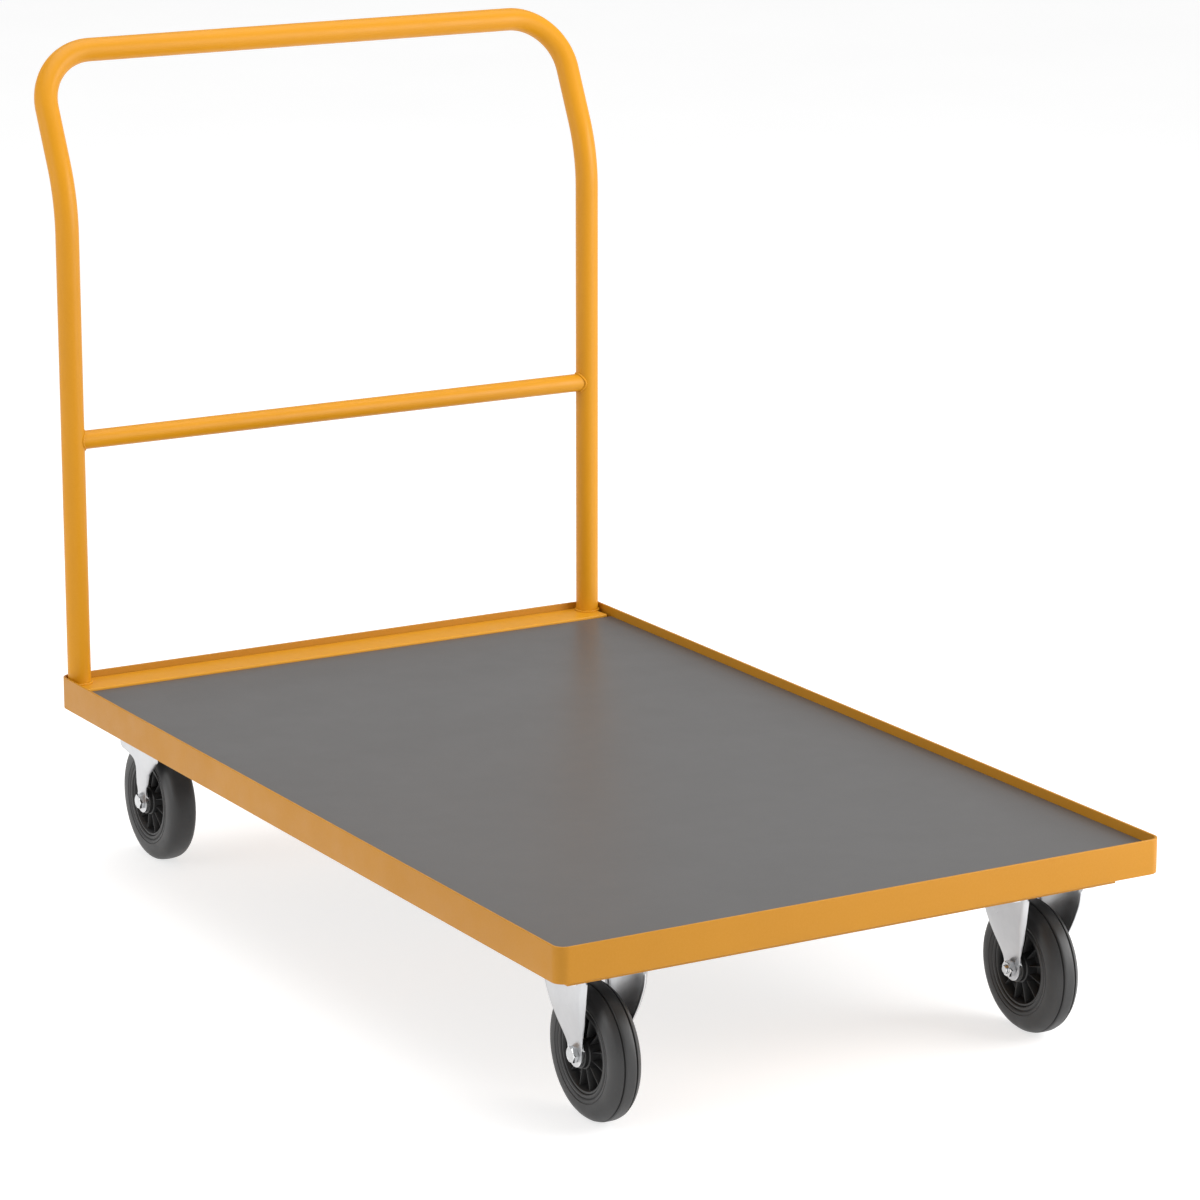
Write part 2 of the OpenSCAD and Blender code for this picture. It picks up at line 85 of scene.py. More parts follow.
def new_object(name, verts, faces, material, sharp=35.0, matrix=None):
    """An object from points in millimetres."""
    mesh = bpy.data.meshes.new(name)
    if matrix is None:
        matrix = Matrix.Identity(4)
    points = [(matrix @ Vector(v)) * MM for v in verts]
    mesh.from_pydata([tuple(p) for p in points], [], [tuple(f) for f in faces])
    bm = bmesh.new()
    bm.from_mesh(mesh)
    bmesh.ops.remove_doubles(bm, verts=bm.verts, dist=1e-6)
    bmesh.ops.recalc_face_normals(bm, faces=bm.faces)
    bm.to_mesh(mesh)
    bm.free()
    mesh.polygons.foreach_set("use_smooth", [True] * len(mesh.polygons))
    mesh.set_sharp_from_angle(angle=math.radians(sharp))
    mesh.materials.append(material)
    obj = bpy.data.objects.new(name, mesh)
    bpy.context.scene.collection.objects.link(obj)
    return obj


def bevel(obj, width, segments, angle):
    m = obj.modifiers.new("soft_edges", "BEVEL")
    m.width = width * MM
    m.segments = segments
    m.limit_method = "ANGLE"
    m.angle_limit = math.radians(angle)
    m.harden_normals = True


def join(name, parts):
    """One object from several that share a material."""
    bm = bmesh.new()
    for p in parts:
        bm.from_mesh(p.data)
    mesh = bpy.data.meshes.new(name)
    bm.to_mesh(mesh)
    bm.free()
    for m in parts[0].data.materials:
        mesh.materials.append(m)
    obj = bpy.data.objects.new(name, mesh)
    bpy.context.scene.collection.objects.link(obj)
    for p in parts:
        bpy.data.objects.remove(p)
    return obj


def loft(rings, closed=False):
    """Vertices and faces through rings of equal length; closed joins the last to the first."""
    n = len(rings[0])
    verts = [p for ring in rings for p in ring]
    faces = []
    last = len(rings) if closed else len(rings) - 1
    for i in range(last):
        a = i * n
        b = ((i + 1) % len(rings)) * n
        for k in range(n):
            k2 = (k + 1) % n
            faces.append((a + k, a + k2, b + k2, b + k))
    if not closed:
        faces.append(tuple(range(n - 1, -1, -1)))
        faces.append(tuple((len(rings) - 1) * n + k for k in range(n)))
    return verts, faces


def lathe(name, profile, material, matrix, steps=128, sharp=35.0):
    """A closed outline of (radius, height) turned about +Z, then moved by matrix."""
    rings = []
    for i in range(steps):
        a = 2 * math.pi * i / steps
        rings.append([(r * math.cos(a), r * math.sin(a), h) for r, h in profile])
    verts, faces = loft(rings, closed=True)
    return new_object(name, verts, faces, material, sharp, matrix)


def rounded(points, radius, steps=4):
    """Rounds a closed outline's corners."""
    out = []
    n = len(points)
    for i, p in enumerate(points):
        p = Vector(p)
        a = Vector(points[i - 1])
        b = Vector(points[(i + 1) % n])
        da, db = (a - p).normalized(), (b - p).normalized()
        turn = math.acos(max(-1, min(1, da.dot(db))))
        cut = min(radius / math.tan(turn / 2), (a - p).length * 0.48, (b - p).length * 0.48)
        start, end = p + da * cut, p + db * cut
        for k in range(steps + 1):
            t = k / steps
            out.append(tuple(start * (1 - t) ** 2 + p * 2 * t * (1 - t) + end * t ** 2))
    return out


def sweep(name, path, section, material, closed=False, sharp=35.0, up=Vector((0, 0, 1))):
    """A section of (side, up) points carried along a path, turning with it."""
    n = len(path)
    rings = []
    side = None
    for i, p in enumerate(path):
        before = path[(i - 1) % n] if closed or i else path[i]
        after = path[(i + 1) % n] if closed or i < n - 1 else path[i]
        t = (after - before).normalized()
        if side is None:
            side = t.cross(up).normalized()
        side = (side - t * side.dot(t)).normalized()
        lift = side.cross(t)
        stretch = 1.0
        if (closed or 0 < i < n - 1) and n > 2:
            d1, d2 = (p - before).normalized(), (after - p).normalized()
            stretch = 1.0 / max(0.5, math.sqrt((1 + d1.dot(d2)) / 2))
        rings.append([p + side * (u * stretch) + lift * v for u, v in section])
    verts, faces = loft(rings, closed=closed)
    return new_object(name, verts, faces, material, sharp)


def circle(r, steps):
    return [(r * math.cos(2 * math.pi * k / steps), r * math.sin(2 * math.pi * k / steps))
            for k in range(steps)]


def hex_piece(name, across, height, material, matrix, bore=0.0, both=False, per_side=12):
    """A hexagon bolt head or nut on +Z with turned chamfers, and a washer face underneath."""
    n = per_side * 6
    rc = across / 2 * 0.93
    slope = math.tan(math.radians(28))

    def hexagon(k):
        a = 2 * math.pi * k / n
        return across / 2 / math.cos((a % (math.pi / 3)) - math.pi / 6)

    def ring(radius, z):
        out = []
        for k in range(n):
            a = 2 * math.pi * k / n
            out.append((radius(k) * math.cos(a), radius(k) * math.sin(a), z(k)))
        return out

    drop = lambda k: (hexagon(k) - rc) * slope
    rings = []
    if bore:
        rings.append(ring(lambda k: bore, lambda k: 0.6))
        rings.append(ring(lambda k: bore + 0.6, lambda k: 0.0))
    rings.append(ring(lambda k: rc, lambda k: 0.0))
    rings.append(ring(hexagon, (lambda k: drop(k)) if both else (lambda k: 0.15)))
    rings.append(ring(hexagon, lambda k: height - drop(k)))
    rings.append(ring(lambda k: rc, lambda k: height))
    if bore:
        rings.append(ring(lambda k: bore + 0.7, lambda k: height))
        rings.append(ring(lambda k: bore, lambda k: height - 0.7))
    else:
        rings.append(ring(lambda k: rc * 0.86, lambda k: height))
        rings.append(ring(lambda k: rc * 0.82, lambda k: height - 0.15))
    verts, faces = loft(rings, closed=bool(bore))
    return new_object(name, verts, faces, material, 25.0, matrix)


def thread(length, r, pitch=1.5, depth=0.55):
    """Outline of a bolt's threaded end, from its shank to its rounded tip."""
    out = [(0.0, 0.0), (r, 0.0)]
    z = 0.4
    while z + pitch < length - 0.6:
        out += [(r, z), (r - depth, z + pitch * 0.42), (r - depth, z + pitch * 0.58)]
        z += pitch
    out += [(r, length - 1.0), (r - 0.9, length), (0.0, length)]
    return out


def to_axis(centre, direction):
    """Moves +Z on to a direction and the origin to a centre."""
    return Matrix.Translation(centre) @ Vector(direction).to_track_quat("Z", "Y").to_matrix().to_4x4()


def weld(name, path, material, size=1.6, closed=True):
    """A rippled bead along a path."""
    n = len(path)
    rings = []
    side = None
    for i, p in enumerate(path):
        t = (path[(i + 1) % n] - path[i - 1]).normalized()
        if side is None:
            side = t.orthogonal().normalized()
        side = (side - t * side.dot(t)).normalized()
        lift = side.cross(t)
        s = size * (1 + 0.16 * math.cos(i * 2 * math.pi / 4) + rng.uniform(-0.05, 0.05))
        rings.append([p + side * (s * math.cos(a)) + lift * (s * math.sin(a))
                      for a in [2 * math.pi * k / 10 for k in range(10)]])
    verts, faces = loft(rings, closed=closed)
    return new_object(name, verts, faces, material, 60.0)


def table(points, x):
    """Straight-line interpolation in a list of (x, y)."""
    if x <= points[0][0]:
        return points[0][1]
    for (x0, y0), (x1, y1) in zip(points, points[1:]):
        if x <= x1:
            return y0 + (y1 - y0) * (x - x0) / (x1 - x0)
    return points[-1][1]


def curve_table(points, x):
    """Smooth interpolation in a list of (x, y), without overshoot."""
    if x <= points[0][0]:
        return points[0][1]
    if x >= points[-1][0]:
        return points[-1][1]
    n = len(points)
    slopes = [(points[i + 1][1] - points[i][1]) / (points[i + 1][0] - points[i][0])
              for i in range(n - 1)]
    tangents = [slopes[0]]
    for a, b in zip(slopes, slopes[1:]):
        tangents.append(0.0 if a * b <= 0 else 2 * a * b / (a + b))
    tangents.append(slopes[-1])
    for i in range(n - 1):
        x0, y0 = points[i]
        x1, y1 = points[i + 1]
        if x <= x1:
            h = x1 - x0
            t = (x - x0) / h
            return ((2 * t ** 3 - 3 * t ** 2 + 1) * y0 + (t ** 3 - 2 * t ** 2 + t) * h * tangents[i]
                    + (3 * t ** 2 - 2 * t ** 3) * y1 + (t ** 3 - t ** 2) * h * tangents[i + 1])
    return points[-1][1]


# ------------------------------------------------------------------ materials

class Nodes:
    """Builds one material's node tree."""

    def __init__(self, name):
        self.mat = bpy.data.materials.new(name)
        self.mat.use_nodes = True
        self.tree = self.mat.node_tree
        self.shader = self.tree.nodes["Principled BSDF"]
        coords = self.tree.nodes.new("ShaderNodeTexCoord")
        self.where = coords.outputs["Object"]
        self.height = None

    def node(self, kind, **values):
        n = self.tree.nodes.new(kind)
        for key, value in values.items():
            if key in n.inputs:
                n.inputs[key].default_value = value
            else:
                setattr(n, key, value)
        return n

    def link(self, a, b):
        self.tree.links.new(a, b)

    def stretched(self, sx, sy, sz):
        m = self.node("ShaderNodeMapping")
        m.inputs["Scale"].default_value = (sx, sy, sz)
        self.link(self.where, m.inputs["Vector"])
        return m.outputs["Vector"]

    def noise(self, scale, detail=4.0, rough=0.55, vector=None):
        n = self.node("ShaderNodeTexNoise", Scale=scale, Detail=detail, Roughness=rough)
        self.link(vector or self.where, n.inputs["Vector"])
        return n.outputs["Fac"]

    def ramp(self, value, low_value, high_value, start=0.3, end=0.7):
        m = self.node("ShaderNodeMapRange", clamp=True)
        m.inputs["From Min"].default_value = start
        m.inputs["From Max"].default_value = end
        m.inputs["To Min"].default_value = low_value
        m.inputs["To Max"].default_value = high_value
        self.link(value, m.inputs["Value"])
        return m.outputs["Result"]

    def mix(self, factor, a, b):
        m = self.node("ShaderNodeMix", data_type="RGBA")
        self.link(factor, m.inputs["Factor"])
        for value, socket in ((a, m.inputs[6]), (b, m.inputs[7])):
            if isinstance(value, tuple):
                socket.default_value = (*value, 1.0)
            else:
                self.link(value, socket)
        return m.outputs[2]

    def bump(self, value, strength, distance):
        b = self.node("ShaderNodeBump")
        b.inputs["Strength"].default_value = strength
        b.inputs["Distance"].default_value = distance
        self.link(value, b.inputs["Height"])
        if self.height is not None:
            self.link(self.height, b.inputs["Normal"])
        self.height = b.outputs["Normal"]
        self.link(self.height, self.shader.inputs["Normal"])

    def colour(self, socket):
        self.link(socket, self.shader.inputs["Base Color"])

    def roughness(self, socket):
        self.link(socket, self.shader.inputs["Roughness"])

    def fixed(self, **values):
        for key, value in values.items():
            self.shader.inputs[key].default_value = value

    def edges(self, start, end):
        """1 on outward edges, from the mesh's own curvature; the materials use it as the mask for painted
        highlights.
        """
        g = self.node("ShaderNodeNewGeometry")
        return self.ramp(g.outputs["Pointiness"], 0.0, 1.0, start, end)


def powder_coat(name, base, deep, light):
    """Satin powder coat: faint orange peel, slow drift of tone, a painted highlight on outward edges, and
    fine dust.
    """
    n = Nodes(name)
    drift = n.ramp(n.noise(3.2, 3.0), 0.0, 1.0, 0.35, 0.65)
    speck = n.ramp(n.noise(420.0, 2.0), 0.0, 1.0, 0.35, 0.75)
    tone = n.mix(drift, base, deep)
    tone = n.mix(n.ramp(speck, 0.0, 0.12, 0.0, 1.0), tone, light)
    # painted highlight: outward edges are mixed towards the pale tone, standing in for light caught on the
    # rounded edges
    tone = n.mix(n.ramp(n.edges(0.53, 0.66), 0.0, 0.35, 0.0, 1.0), tone, light)
    rub = n.ramp(n.noise(60.0, 5.0, 0.65, n.stretched(1.0, 0.25, 1.0)), 0.0, 0.18, 0.62, 0.8)
    n.colour(n.mix(rub, tone, deep))
    n.roughness(n.ramp(n.noise(24.0, 6.0, 0.6), 0.36, 0.50, 0.3, 0.7))
    n.bump(n.noise(620.0, 2.0, 0.4), 0.10, 0.0004)
    n.bump(n.noise(90.0, 2.0, 0.4), 0.05, 0.0006)
    n.fixed(IOR=1.36)
    return n.mat


def laminate(name):
    """The deck's grey film-faced board: fine grain with faint pressing marks and handling scuffs."""
    n = Nodes(name)
    cloud = n.ramp(n.noise(5.0, 5.0, 0.6), 0.0, 1.0, 0.3, 0.7)
    grain = n.ramp(n.noise(900.0, 2.0, 0.6), 0.0, 1.0, 0.35, 0.7)
    tone = n.mix(cloud, (0.081, 0.079, 0.078), (0.086, 0.084, 0.083))
    tone = n.mix(n.ramp(grain, 0.0, 0.22, 0.0, 1.0), tone, (0.118, 0.115, 0.113))
    scuff = n.noise(70.0, 8.0, 0.7, n.stretched(0.35, 1.0, 1.0))
    tone = n.mix(n.ramp(scuff, 0.0, 0.12, 0.66, 0.84), tone, (0.13, 0.127, 0.125))
    n.colour(tone)
    n.roughness(n.ramp(n.noise(11.0, 6.0, 0.6), 0.36, 0.40, 0.3, 0.7))
    n.bump(n.noise(1400.0, 2.0, 0.5), 0.10, 0.0003)
    n.bump(n.noise(260.0, 3.0, 0.5), 0.05, 0.0003)
    n.fixed(IOR=1.38)
    return n.mat


def zinc(name, tone, dark, rough_low, rough_high, scale):
    """Bright zinc plate: cloudy passivation, fine rolling streaks, and a painted highlight that lightens
    outward edges almost to white.
    """
    n = Nodes(name)
    cloud = n.ramp(n.noise(scale, 6.0, 0.62), 0.0, 1.0, 0.3, 0.72)
    streak = n.noise(260.0, 3.0, 0.6, n.stretched(1.0, 1.0, 0.06))
    base = n.mix(cloud, dark, tone)
    base = n.mix(n.ramp(streak, 0.0, 0.25, 0.4, 0.75), base, dark)
    # painted highlight: outward edges are mixed towards near-white, standing in for glints on the sheet's
    # edges
    base = n.mix(n.ramp(n.edges(0.52, 0.62), 0.0, 0.5, 0.0, 1.0), base, (0.86, 0.87, 0.88))
    n.colour(base)
    n.roughness(n.ramp(n.noise(scale * 2.3, 6.0, 0.6), rough_low, rough_high, 0.3, 0.7))
    n.bump(streak, 0.05, 0.0003)
    n.bump(n.noise(700.0, 2.0, 0.5), 0.05, 0.0002)
    n.fixed(Metallic=1.0)
    return n.mat


def rubber(name, tone, dust_and_highlight):
    """Moulded tyre rubber: matt, faint mould grain, a little dust, and outward edges lightened towards the
    dust colour as a painted highlight.
    """
    n = Nodes(name)
    cloud = n.ramp(n.noise(18.0, 6.0, 0.65), 0.0, 1.0, 0.35, 0.72)
    speck = n.ramp(n.noise(520.0, 3.0, 0.6), 0.0, 1.0, 0.52, 0.8)
    base = n.mix(n.ramp(cloud, 0.0, 0.55, 0.0, 1.0), tone, dust_and_highlight)
    base = n.mix(n.ramp(speck, 0.0, 0.35, 0.0, 1.0), base, dust_and_highlight)
    # painted highlight: outward edges are mixed towards the dust colour, for the bright lips of the grooves
    # and rings
    base = n.mix(n.ramp(n.edges(0.51, 0.6), 0.0, 0.4, 0.0, 1.0), base, dust_and_highlight)
    n.colour(base)
    n.roughness(n.ramp(n.noise(35.0, 5.0, 0.6), 0.40, 0.54, 0.3, 0.7))
    n.bump(n.noise(800.0, 3.0, 0.55), 0.16, 0.0003)
    n.bump(n.noise(120.0, 3.0, 0.5), 0.06, 0.0004)
    n.fixed(IOR=1.5)
    return n.mat


def plastic(name, tone, dust_and_highlight):
    """Black moulded plastic with a fine spark-eroded grain, a little dust, and a painted highlight on
    outward edges.
    """
    n = Nodes(name)
    cloud = n.ramp(n.noise(30.0, 5.0, 0.6), 0.0, 0.6, 0.4, 0.75)
    base = n.mix(cloud, tone, dust_and_highlight)
    # painted highlight: outward edges, such as the ribs' edges, are mixed towards the dust colour so that
    # the ribs show as bright lines
    base = n.mix(n.ramp(n.edges(0.51, 0.6), 0.0, 0.55, 0.0, 1.0), base, dust_and_highlight)
    n.colour(base)
    n.roughness(n.ramp(n.noise(60.0, 4.0, 0.6), 0.34, 0.48, 0.3, 0.7))
    n.bump(n.noise(1100.0, 2.0, 0.5), 0.14, 0.0002)
    n.fixed(IOR=1.47)
    return n.mat


def steel(name, tone, rough):
    """Ground bearing steel with an oil film."""
    n = Nodes(name)
    n.colour(n.mix(n.ramp(n.noise(90.0, 5.0), 0.0, 1.0), tone, (0.40, 0.38, 0.35)))
    n.roughness(n.ramp(n.noise(150.0, 4.0), rough, rough + 0.12, 0.3, 0.7))
    n.bump(n.noise(900.0, 2.0), 0.04, 0.0002)
    n.fixed(Metallic=1.0)
    return n.mat


PAINT = powder_coat(
    "frame_powder_coat", (0.460, 0.196, 0.006), (0.432, 0.181, 0.005), (0.58, 0.28, 0.04))
BAR_PAINT = powder_coat(
    "handle_powder_coat", (0.60, 0.252, 0.003), (0.565, 0.235, 0.002), (0.68, 0.32, 0.02))
BOARD = laminate("deck_laminate")
ZINC = zinc("zinc_sheet", (0.64, 0.645, 0.655), (0.53, 0.535, 0.55), 0.27, 0.40, 14.0)
BOLT = zinc("zinc_bolts", (0.70, 0.71, 0.72), (0.54, 0.55, 0.56), 0.08, 0.16, 60.0)
RUBBER = rubber("tyre_rubber", (0.020, 0.020, 0.0205), (0.037, 0.0365, 0.036))
SEAL = rubber("seal_rubber", (0.018, 0.018, 0.018), (0.035, 0.035, 0.035))
PLASTIC = plastic("wheel_plastic", (0.013, 0.013, 0.0135), (0.030, 0.030, 0.030))
STEEL = steel("bearing_steel", (0.60, 0.59, 0.57), 0.18)

MATERIAL_OF = {
    "frame_paint": PAINT, "handle_paint": BAR_PAINT, "board": BOARD, "zinc_sheet": ZINC,
    "zinc_fasteners": BOLT, "tyre": RUBBER, "seal_rubber": SEAL, "wheel_plastic": PLASTIC,
    "bearing_steel": STEEL,
}


def piece(obj, body, *nodes):
    """The piece rides on a body and takes the place of CAD nodes."""
    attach(obj, body)
    if nodes:
        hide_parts(*nodes)


# ------------------------------------------------------------------ frame

rim_lo, rim_hi = low("deck_rim"), high("deck_rim")
deck_y = (rim_lo.y + rim_hi.y) / 2


def rounded_loop(x0, y0, x1, y1, r, z, steps=10):
    """A rounded rectangle, anticlockwise."""
    out = []
    corners = ((x1 - r, y1 - r, 0), (x0 + r, y1 - r, 90), (x0 + r, y0 + r, 180), (x1 - r, y0 + r, 270))
    for cx, cy, start in corners:
        for k in range(steps + 1):
            a = math.radians(start + 90 * k / steps)
            out.append(Vector((cx + r * math.cos(a), cy + r * math.sin(a), z)))
    return out


def make_rim():
    h = rim_hi.z - rim_lo.z
    inset = RIM_T / 2
    path = rounded_loop(rim_lo.x + inset, rim_lo.y + inset, rim_hi.x - inset, rim_hi.y - inset,
                        RIM_CORNER - inset, (rim_lo.z + rim_hi.z) / 2)
    wall = rounded([(-inset, -h / 2), (inset, -h / 2), (inset, h / 2), (-inset, h / 2)], 0.95, 4)
    rim = sweep("rim_sheet", path, wall, PAINT, closed=True, sharp=60)
    piece(rim, "chassis", "deck_rim")


def make_carrier():
    """Rectangular tube across the rear with rolled edges and open ends."""
    lo, hi = low("handle_carrier"), high("handle_carrier")
    yc, zc = (lo.y + hi.y) / 2, (lo.z + hi.z) / 2
    d, h, t = (hi.y - lo.y) / 2, (hi.z - lo.z) / 2, 2.5
    outer = rounded([(-d, -h), (d, -h), (d, h), (-d, h)], 2.6, 5)
    inner = rounded([(-d + t, -h + t), (d - t, -h + t), (d - t, h - t), (-d + t, h - t)], 1.2, 5)
    rings = []
    corner = 9.0
    for loop, ends in ((outer, (lo.x, hi.x)), (inner, (hi.x, lo.x))):
        for x in ends:
            sign = 1 if x > 0 else -1
            ring = []
            for u, v in loop:
                cut = max(0.0, u - (d - corner)) * 0.9
                ring.append((x - sign * cut, yc + u, zc + v))
            rings.append(ring)
    verts, faces = loft(rings, closed=True)
    piece(new_object("handle_shelf", verts, faces, BAR_PAINT, 50), "chassis", "handle_carrier")


def handle_route():
    """Centre line of the bent tube, from the left foot over the top to the right foot."""
    lo, hi = low("handle_tube"), high("handle_tube")
    post_x = hi.x - TUBE_R
    post_y = lo.y + TUBE_R
    foot = lo.z
    bend_z, lean_r, lean = rim_hi.z + 577.0, 206.0, math.radians(25.5)
    straight, corner_r = 73.0, 74.0
    side = []
    for k in range(11):
        side.append(Vector((post_x, post_y, foot + (bend_z - foot) * k / 11)))
    for k in range(17):
        a = lean * k / 16
        side.append(Vector((post_x, post_y + lean_r * (1 - math.cos(a)),
                            bend_z + lean_r * math.sin(a))))
    tilt = Vector((0, math.sin(lean), math.cos(lean)))
    start = side[-1].copy()
    for k in (1, 2, 3):
        side.append(start + tilt * (straight * k / 4))
    start = start + tilt * straight
    for k in range(25):
        a = math.radians(90) * k / 24
        inward = Vector((-corner_r * (1 - math.cos(a)), 0, 0))
        side.append(start + inward + tilt * (corner_r * math.sin(a)))
    top = side[-1].copy()
    for k in range(1, 6):
        side.append(Vector((top.x * (1 - k / 6), top.y, top.z)))
    left = [Vector((-p.x, p.y, p.z)) for p in side]
    return left + [Vector((0, top.y, top.z))] + side[::-1], post_x, post_y, foot


def make_handle():
    path, post_x, post_y, foot = handle_route()
    tube = sweep("push_handle", path, circle(TUBE_R, 48), BAR_PAINT, up=Vector((0, 1, 0)))
    piece(tube, "chassis", "handle_tube")

    bar_z = mid("handle_crossbar").z
    rings = []
    n = 40
    for sign in (-1, 1):
        ring = []
        for k in range(n):
            a = 2 * math.pi * k / n
            dy = BAR_R * math.cos(a)
            x = sign * (post_x - math.sqrt(TUBE_R ** 2 - dy ** 2) + 1.0)
            ring.append((x, post_y + dy, bar_z + BAR_R * math.sin(a)))
        rings.append(ring)
    middle = [[(x, p[1], p[2]) for p in rings[0]] for x in (-240, -120, 0, 120, 240)]
    verts, faces = loft([rings[0]] + middle + [rings[1]])
    bar = new_object("handle_rail", verts, faces, BAR_PAINT, 50)
    piece(bar, "chassis", "handle_crossbar")

    beads = []
    for sign in (-1, 1):
        n = 80
        path = []
        for k in range(n):
            a = 2 * math.pi * k / n
            dy = (BAR_R + 0.5) * math.cos(a)
            reach = math.sqrt(max(0.0, (TUBE_R + 0.3) ** 2 - dy ** 2))
            path.append(Vector((sign * (post_x - reach), post_y + dy,
                                bar_z + (BAR_R + 0.5) * math.sin(a))))
        beads.append(weld("bead", path, BAR_PAINT, 1.5))
        foot_path = []
        for k in range(96):
            a = 2 * math.pi * k / 96
            y = min(post_y + (TUBE_R + 0.5) * math.sin(a), rim_hi.y - RIM_T - 1.2)
            foot_path.append(Vector((sign * post_x + (TUBE_R + 0.5) * math.cos(a), y, foot + 0.6)))
        beads.append(weld("bead", foot_path, BAR_PAINT, 1.5))
    piece(join("handle_welds", beads), "chassis")


def make_frame_welds():
    """Short stitch welds where the cross-members meet the side ledges."""
    beads = []
    for node in ("front_channel", "rear_channel", "middle_crossbar"):
        lo, hi = low(node), high(node)
        for x in (lo.x, hi.x):
            for y in (lo.y, hi.y):
                if y > rim_hi.y - 60:
                    continue
                z = low("side_ledges").z + 10
                outside = y + (0.8 if y == hi.y else -0.8)
                path = [Vector((x, outside, z - 3 + k)) for k in range(12)]
                beads.append(weld("bead", path, PAINT, 1.4, closed=False))
    piece(join("frame_welds", beads), "chassis")


make_rim()
make_carrier()
make_handle()
make_frame_welds()


# ------------------------------------------------------------------ casters

PLATE_TOP = low("front_channel").z
PLATE_LOW = PLATE_TOP - PLATE_T
CROWN = PLATE_LOW - 12.0


def plate_mesh(name, centre, bore=0.0):
    """Pressed mounting plate with rounded corners, four slotted holes and a bore for the kingpin."""
    curve = bpy.data.curves.new(name, "CURVE")
    curve.dimensions = "2D"
    curve.fill_mode = "BOTH"
    soft = 0.35

    def spline(points):
        s = curve.splines.new("POLY")
        s.points.add(len(points) - 1)
        for p, q in zip(s.points, points):
            p.co = (q[0] * MM, q[1] * MM, 0, 1)
        s.use_cyclic_u = True

    hx, hy = PLATE_X / 2 - soft, PLATE_Y / 2 - soft
    spline([(p.x, p.y) for p in rounded_loop(-hx, -hy, hx, hy, 7.0, 0.0, 8)])
    hole_r, slot_length = 4.6, 5.0
    for x, y in [(sx * BOLT_X, sy * BOLT_Y) for sx in (-1, 1) for sy in (-1, 1)]:
        ring = []
        for k in range(36):
            a = 2 * math.pi * k / 36
            px = x + (hole_r + soft) * math.cos(a)
            px += slot_length / 2 if math.cos(a) > 0 else -slot_length / 2
            ring.append((px, y + (hole_r + soft) * math.sin(a)))
        spline(ring[::-1])
    if bore:
        spline([((bore + soft) * math.cos(-a), (bore + soft) * math.sin(-a))
                for a in [2 * math.pi * k / 48 for k in range(48)]])
    curve.extrude = PLATE_T / 2 * MM - soft * MM
    curve.bevel_depth = soft * MM
    curve.bevel_resolution = 2
    temp = bpy.data.objects.new(name + "_curve", curve)
    bpy.context.scene.collection.objects.link(temp)
    mesh = bpy.data.meshes.new_from_object(temp.evaluated_get(bpy.context.evaluated_depsgraph_get()))
    bpy.data.objects.remove(temp)
    mesh.transform(Matrix.Translation(Vector((centre.x, centre.y, (PLATE_LOW + PLATE_TOP) / 2)) * MM))
    mesh.polygons.foreach_set("use_smooth", [True] * len(mesh.polygons))
    mesh.set_sharp_from_angle(angle=math.radians(35))
    mesh.materials.clear()
    mesh.materials.append(ZINC)
    mesh.name = name
    obj = bpy.data.objects.new(name, mesh)
    bpy.context.scene.collection.objects.link(obj)
    return obj


